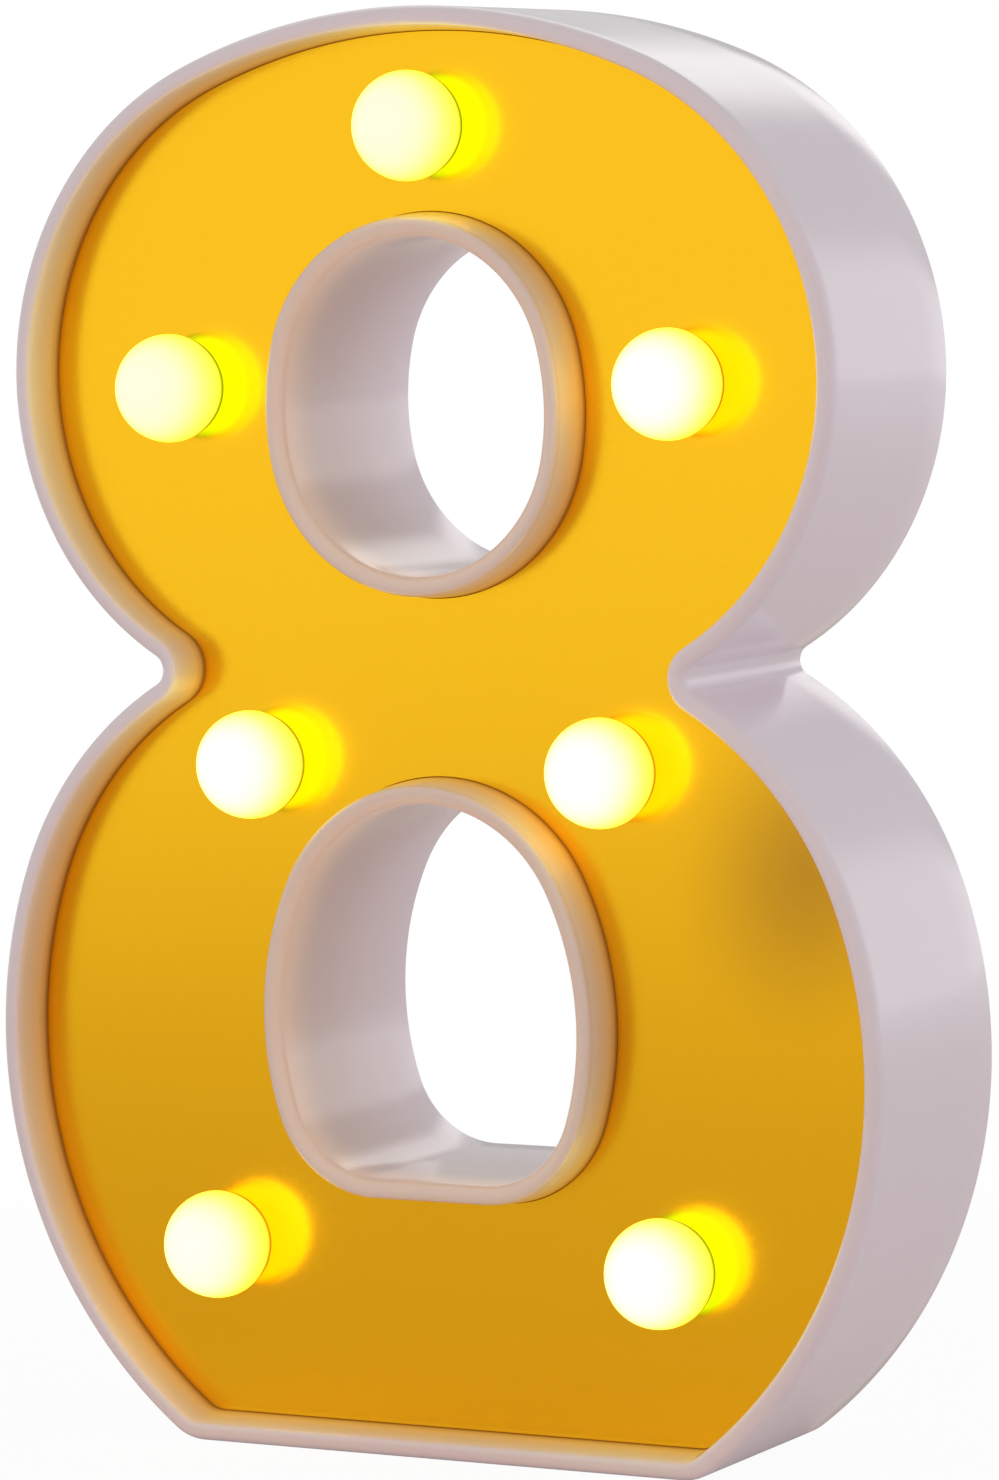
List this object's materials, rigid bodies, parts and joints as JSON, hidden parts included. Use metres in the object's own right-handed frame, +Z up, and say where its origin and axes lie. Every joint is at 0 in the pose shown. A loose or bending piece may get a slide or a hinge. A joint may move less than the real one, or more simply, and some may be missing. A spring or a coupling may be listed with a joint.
{
  "type": "marquee number light",
  "caption": "Free-standing lit figure eight: white moulded housing, recessed mirror face, ball bulbs, battery well behind a hinged door and a slide switch.",
  "frame": {"origin": "middle of the flat foot, half way through the depth of the housing", "axes": "+Z up, -Y out of the lit front face, +X to the right seen from the front"},
  "size_m": [0.152, 0.0466, 0.22],
  "materials": {
    "housing_abs": "glossy moulded",
    "mirror_gold": "gold mirror film",
    "bulb_milk": "milky, lit from inside",
    "led_epoxy": "clear",
    "holder_nylon": "moulded",
    "cell_sleeve": "plastic film over a metal can",
    "contact_nickel": "nickel plated",
    "spring_steel": "nickel plated wire",
    "switch_steel": "tinned sheet",
    "knob_abs": "moulded",
    "screw_zinc": "zinc plated",
    "resistor_lacquer": "lacquered",
    "lead_red": "insulation",
    "lead_black": "insulation"
  },
  "bodies": {
    "housing": {"front_shell": "housing_abs", "back_cover": "housing_abs", "face_panel": "mirror_gold", "bulb_cap_1": "bulb_milk", "led_1": "led_epoxy", "led_holder_1": "holder_nylon", "bulb_cap_2": "bulb_milk", "led_2": "led_epoxy", "led_holder_2": "holder_nylon", "bulb_cap_3": "bulb_milk", "led_3": "led_epoxy", "led_holder_3": "holder_nylon", "bulb_cap_4": "bulb_milk", "led_4": "led_epoxy", "led_holder_4": "holder_nylon", "bulb_cap_5": "bulb_milk", "led_5": "led_epoxy", "led_holder_5": "holder_nylon", "bulb_cap_6": "bulb_milk", "led_6": "led_epoxy", "led_holder_6": "holder_nylon", "bulb_cap_7": "bulb_milk", "led_7": "led_epoxy", "led_holder_7": "holder_nylon", "cell_1": "cell_sleeve", "cell_2": "cell_sleeve", "contact_positive": "contact_nickel", "contact_negative": "contact_nickel", "contact_bridge": "contact_nickel", "contact_spring_1": "spring_steel", "contact_spring_2": "spring_steel", "switch_body": "switch_steel", "switch_screws": "screw_zinc", "cover_screws": "screw_zinc", "resistor": "resistor_lacquer", "supply_wire": "lead_red", "battery_lead_red": "lead_red", "return_wire": "lead_black", "battery_lead_black": "lead_black"},
    "door": {"battery_door": "housing_abs"},
    "knob": {"switch_knob": "knob_abs"}
  },
  "joints": [
    {"name": "door_hinge", "type": "hinge", "parent": "housing", "child": "door", "pos_m": [0, 0.0179, 0.00555], "axis": [-1, 0, 0], "range_deg": [0, 85]},
    {"name": "switch_slide", "type": "slide", "parent": "housing", "child": "knob", "axis": [0, 0, -1], "range_m": [0, 0.004]}
  ]
}
